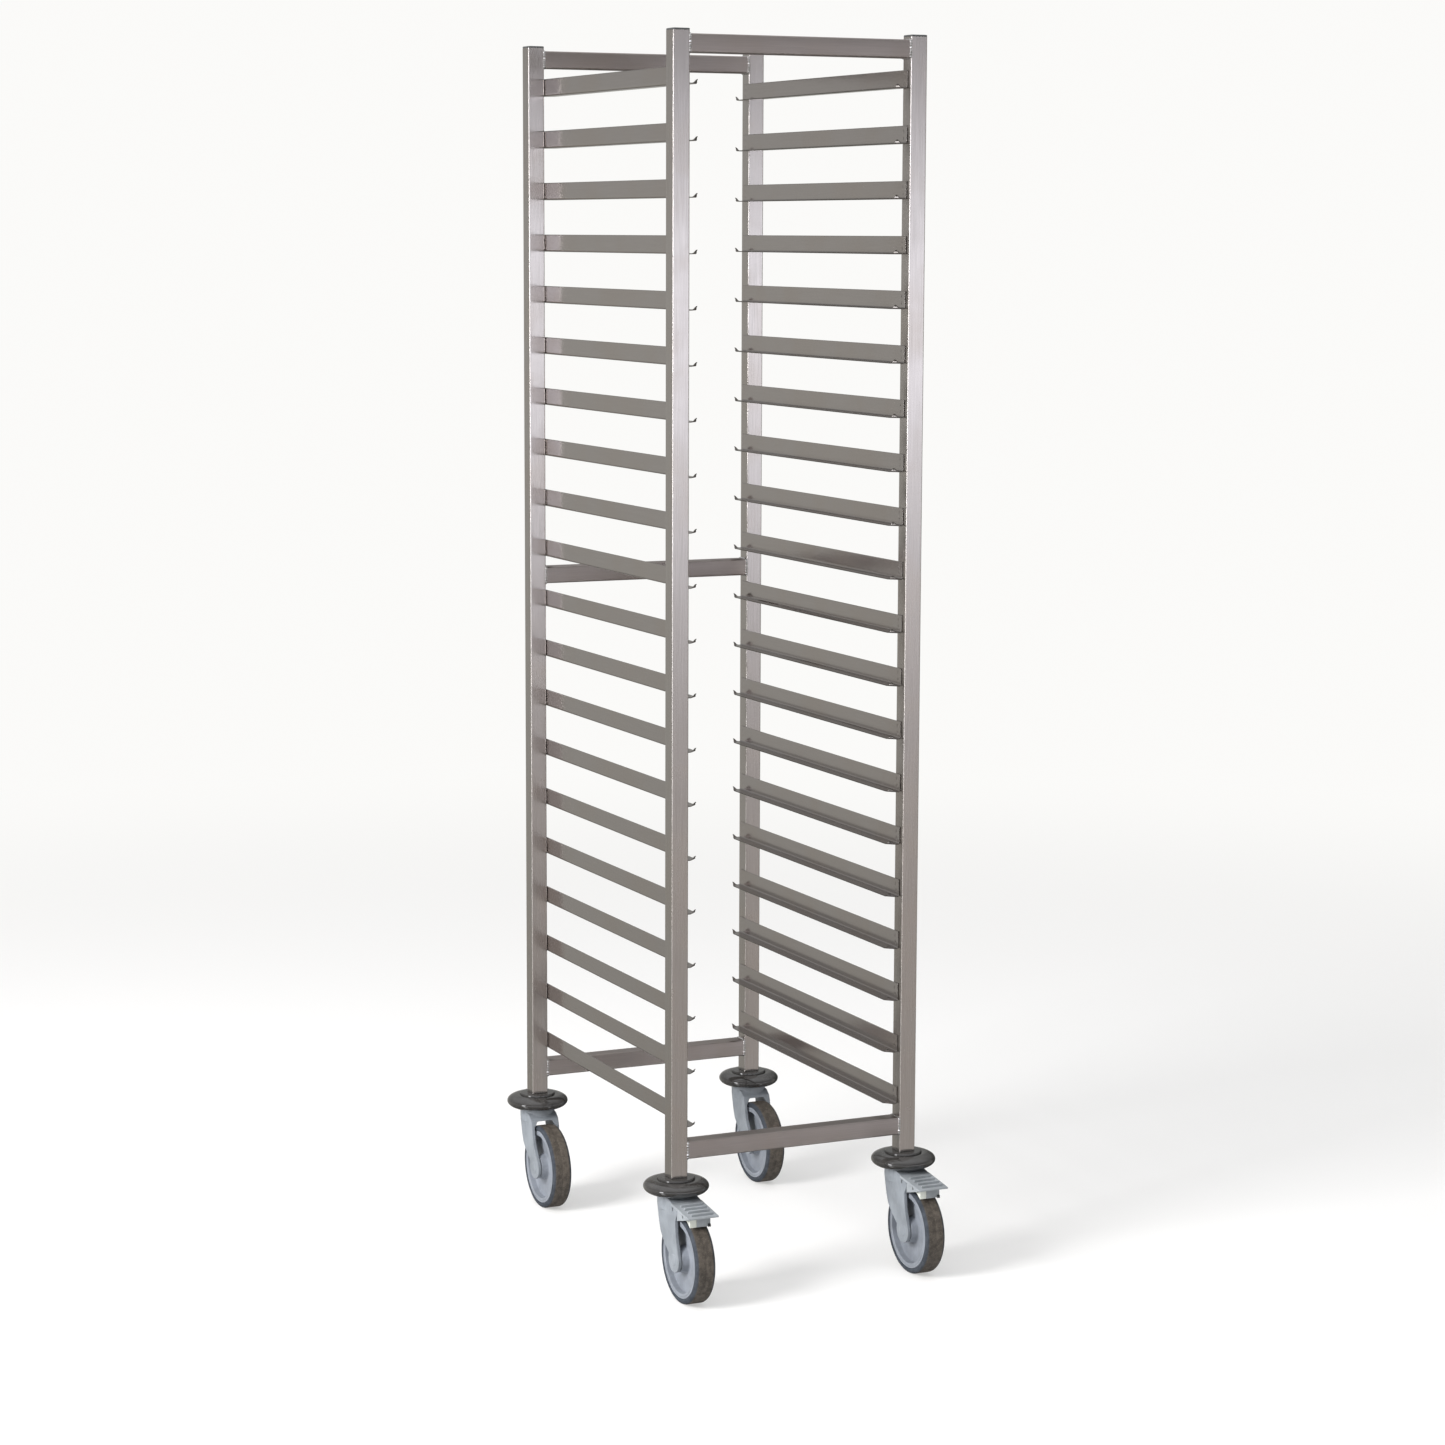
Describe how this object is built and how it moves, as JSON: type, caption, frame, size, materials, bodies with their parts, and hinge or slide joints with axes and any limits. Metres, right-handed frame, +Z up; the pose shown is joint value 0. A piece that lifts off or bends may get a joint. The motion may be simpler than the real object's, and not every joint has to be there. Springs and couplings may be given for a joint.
{
  "type": "sheet pan rack",
  "caption": "Tall open racking trolley of square stainless tube with L-shaped slides for sheet pans on both sides, round bumpers and swivel castors, the front ones braked.",
  "frame": {"origin": "on the floor, under the middle of the whole trolley's box", "axes": "+Z up, +X across the rack to the right as seen from the front, +Y back along the slides; the front, where the braked castors are, is at -Y"},
  "size_m": [0.447, 0.6754, 1.735],
  "materials": {
    "tube_steel": "satin brushed stainless tube",
    "slide_steel": "smooth cold-rolled stainless sheet",
    "bumper": "glossy black moulding",
    "castor_housing": "blue-grey moulded housing, fine grain",
    "wheel_centre": "blue-grey moulded wheel centre",
    "tyre": "dark grey rubber",
    "pedal": "blue-grey moulded tread plate"
  },
  "bodies": {
    "rack": {"front_frame": "tube_steel", "rear_frame": "tube_steel", "slide_left_01": "slide_steel", "slide_left_02": "slide_steel", "slide_left_03": "slide_steel", "slide_left_04": "slide_steel", "slide_left_05": "slide_steel", "slide_left_06": "slide_steel", "slide_left_07": "slide_steel", "slide_left_08": "slide_steel", "slide_left_09": "slide_steel", "slide_left_10": "slide_steel", "slide_left_11": "slide_steel", "slide_left_12": "slide_steel", "slide_left_13": "slide_steel", "slide_left_14": "slide_steel", "slide_left_15": "slide_steel", "slide_left_16": "slide_steel", "slide_left_17": "slide_steel", "slide_left_18": "slide_steel", "slide_left_19": "slide_steel", "slide_left_20": "slide_steel", "slide_right_01": "slide_steel", "slide_right_02": "slide_steel", "slide_right_03": "slide_steel", "slide_right_04": "slide_steel", "slide_right_05": "slide_steel", "slide_right_06": "slide_steel", "slide_right_07": "slide_steel", "slide_right_08": "slide_steel", "slide_right_09": "slide_steel", "slide_right_10": "slide_steel", "slide_right_11": "slide_steel", "slide_right_12": "slide_steel", "slide_right_13": "slide_steel", "slide_right_14": "slide_steel", "slide_right_15": "slide_steel", "slide_right_16": "slide_steel", "slide_right_17": "slide_steel", "slide_right_18": "slide_steel", "slide_right_19": "slide_steel", "slide_right_20": "slide_steel", "bumper_front_left": "bumper", "bumper_front_right": "bumper", "bumper_rear_left": "bumper", "bumper_rear_right": "bumper"},
    "swivel_front_left": {"castor_fork_front_left": "castor_housing"},
    "wheel_front_left": {"wheel_hub_front_left": "wheel_centre", "tyre_front_left": "tyre"},
    "pedal_front_left": {"brake_pedal_front_left": "pedal"},
    "swivel_front_right": {"castor_fork_front_right": "castor_housing"},
    "wheel_front_right": {"wheel_hub_front_right": "wheel_centre", "tyre_front_right": "tyre"},
    "pedal_front_right": {"brake_pedal_front_right": "pedal"},
    "swivel_rear_left": {"castor_fork_rear_left": "castor_housing"},
    "wheel_rear_left": {"wheel_hub_rear_left": "wheel_centre", "tyre_rear_left": "tyre"},
    "swivel_rear_right": {"castor_fork_rear_right": "castor_housing"},
    "wheel_rear_right": {"wheel_hub_rear_right": "wheel_centre", "tyre_rear_right": "tyre"}
  },
  "joints": [
    {"name": "swivel_joint_front_left", "type": "hinge", "parent": "rack", "child": "swivel_front_left", "pos_m": [-0.1775, -0.23325, 0.15], "axis": [0, 0, 1], "continuous": true},
    {"name": "wheel_spin_front_left", "type": "hinge", "parent": "swivel_front_left", "child": "wheel_front_left", "pos_m": [-0.1775, -0.27525, 0.0625], "axis": [1, 0, 0], "continuous": true},
    {"name": "brake_press_front_left", "type": "hinge", "parent": "swivel_front_left", "child": "pedal_front_left", "pos_m": [-0.1775, -0.28025, 0.13], "axis": [1, 0, 0], "range_deg": [0, 7]},
    {"name": "swivel_joint_front_right", "type": "hinge", "parent": "rack", "child": "swivel_front_right", "pos_m": [0.1775, -0.23325, 0.15], "axis": [0, 0, 1], "continuous": true},
    {"name": "wheel_spin_front_right", "type": "hinge", "parent": "swivel_front_right", "child": "wheel_front_right", "pos_m": [0.1775, -0.27525, 0.0625], "axis": [1, 0, 0], "continuous": true},
    {"name": "brake_press_front_right", "type": "hinge", "parent": "swivel_front_right", "child": "pedal_front_right", "pos_m": [0.1775, -0.28025, 0.13], "axis": [1, 0, 0], "range_deg": [0, 7]},
    {"name": "swivel_joint_rear_left", "type": "hinge", "parent": "rack", "child": "swivel_rear_left", "pos_m": [-0.1775, 0.29175, 0.15], "axis": [0, 0, 1], "continuous": true},
    {"name": "wheel_spin_rear_left", "type": "hinge", "parent": "swivel_rear_left", "child": "wheel_rear_left", "pos_m": [-0.1775, 0.24975, 0.0625], "axis": [1, 0, 0], "continuous": true},
    {"name": "swivel_joint_rear_right", "type": "hinge", "parent": "rack", "child": "swivel_rear_right", "pos_m": [0.1775, 0.29175, 0.15], "axis": [0, 0, 1], "continuous": true},
    {"name": "wheel_spin_rear_right", "type": "hinge", "parent": "swivel_rear_right", "child": "wheel_rear_right", "pos_m": [0.1775, 0.24975, 0.0625], "axis": [1, 0, 0], "continuous": true}
  ]
}
